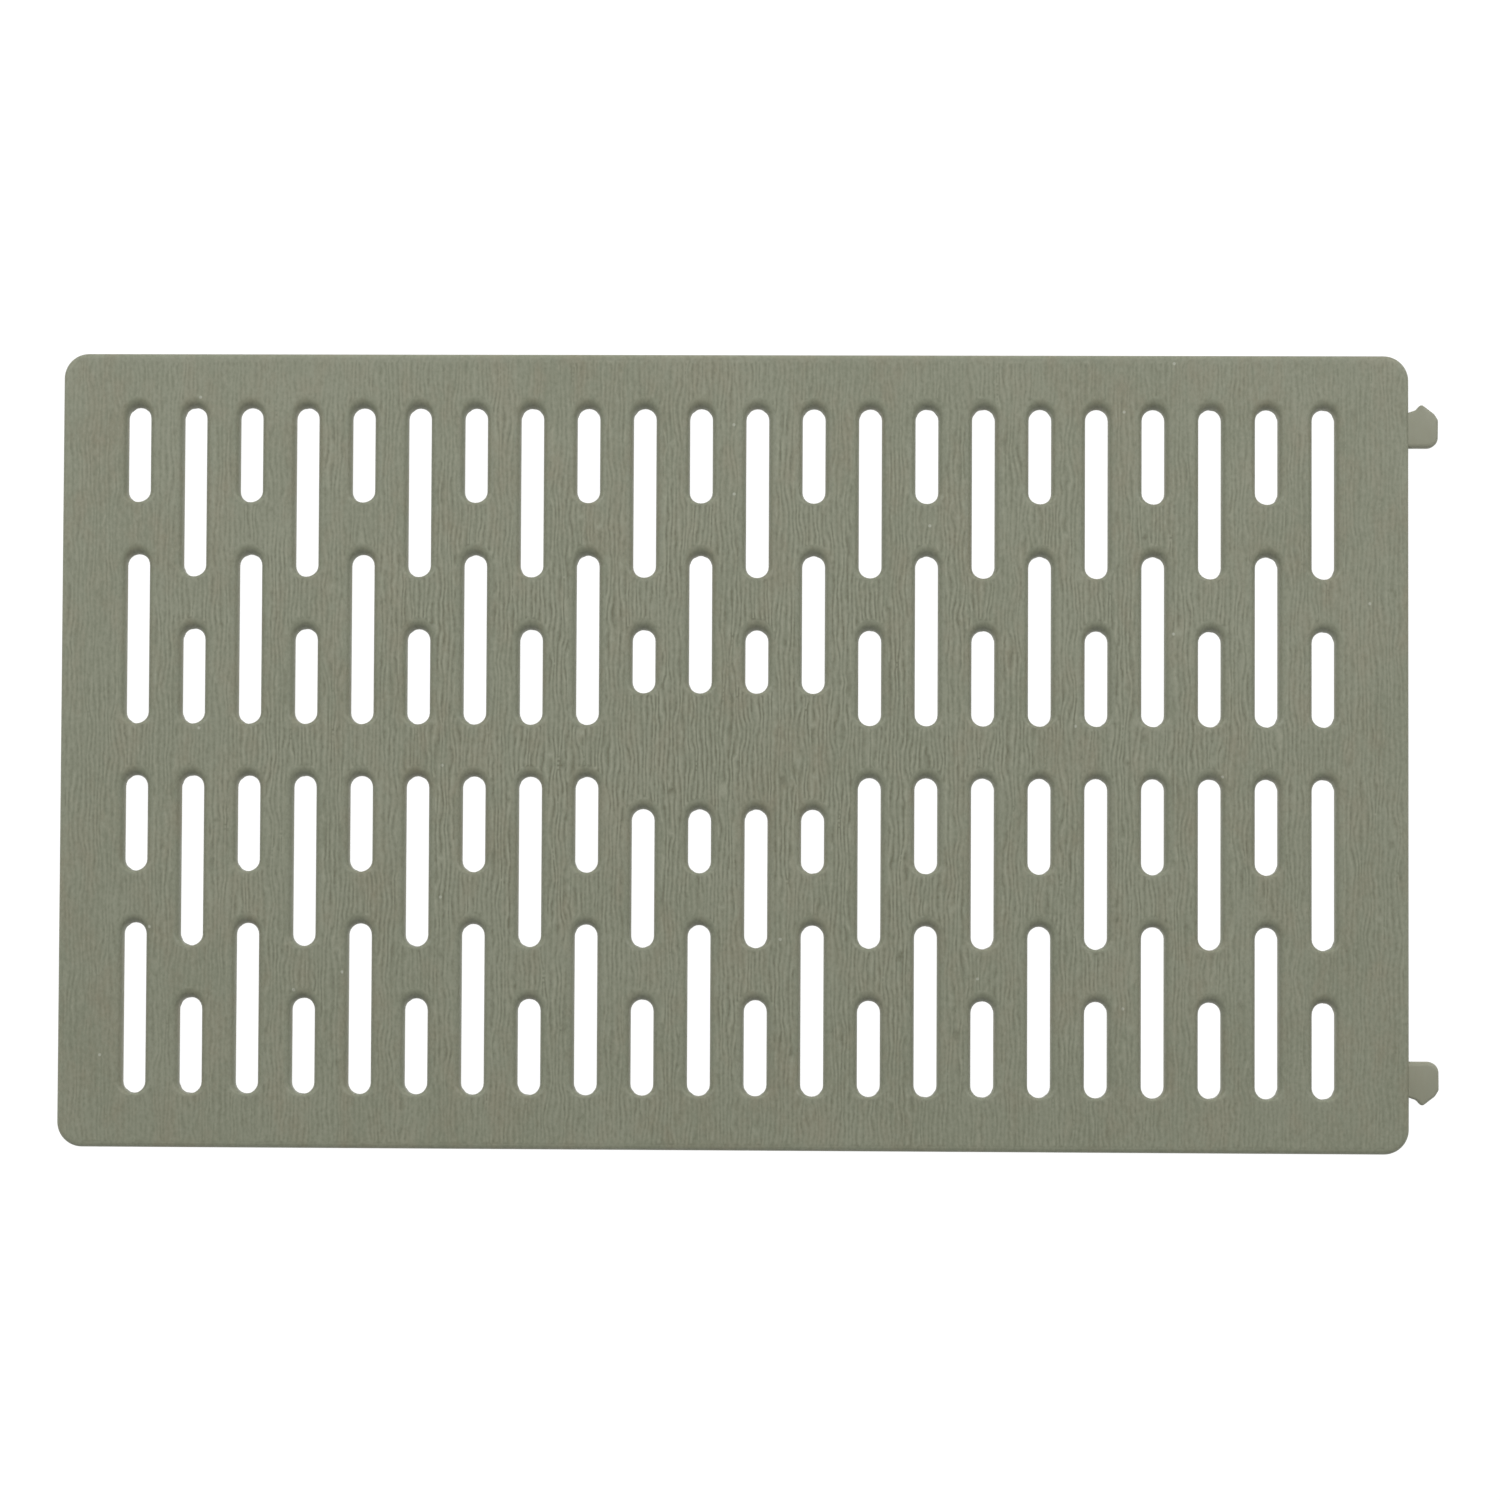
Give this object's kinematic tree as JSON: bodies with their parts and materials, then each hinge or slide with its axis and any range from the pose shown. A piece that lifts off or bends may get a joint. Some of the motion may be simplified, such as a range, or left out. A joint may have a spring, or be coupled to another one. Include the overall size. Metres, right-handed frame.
{
  "type": "queen excluder",
  "caption": "Flat moulded queen excluder plate with staggered round-ended bee slots, a blank centre pad and two sprung barbed snap tabs on one short edge.",
  "frame": {"origin": "centre of the plate's flat back face, midway between its long edges and midway between its short edges, snap tabs not counted", "axes": "+X along the plate's long side, towards the edge with the snap tabs; +Y across the plate, towards the upper tab; +Z out of the grained front face"},
  "size_m": [0.2545, 0.147, 0.0025],
  "materials": {
    "slotted_plate": "satin",
    "snap_tab_upper": "satin",
    "snap_tab_lower": "satin"
  },
  "bodies": {
    "plate": {"slotted_plate": "slotted_plate"},
    "upper_tab": {"snap_tab_upper": "snap_tab_upper"},
    "lower_tab": {"snap_tab_lower": "snap_tab_lower"}
  },
  "joints": [
    {"name": "upper_tab_flex", "type": "hinge", "parent": "plate", "child": "upper_tab", "pos_m": [0.1248, 0.0598, 0.00115], "axis": [0, 0, -1], "range_deg": [0, 3], "stiffness_Nm_per_rad": 0.5},
    {"name": "lower_tab_flex", "type": "hinge", "parent": "plate", "child": "lower_tab", "pos_m": [0.1248, -0.0598, 0.00115], "axis": [0, 0, 1], "range_deg": [0, 3], "stiffness_Nm_per_rad": 0.5}
  ]
}
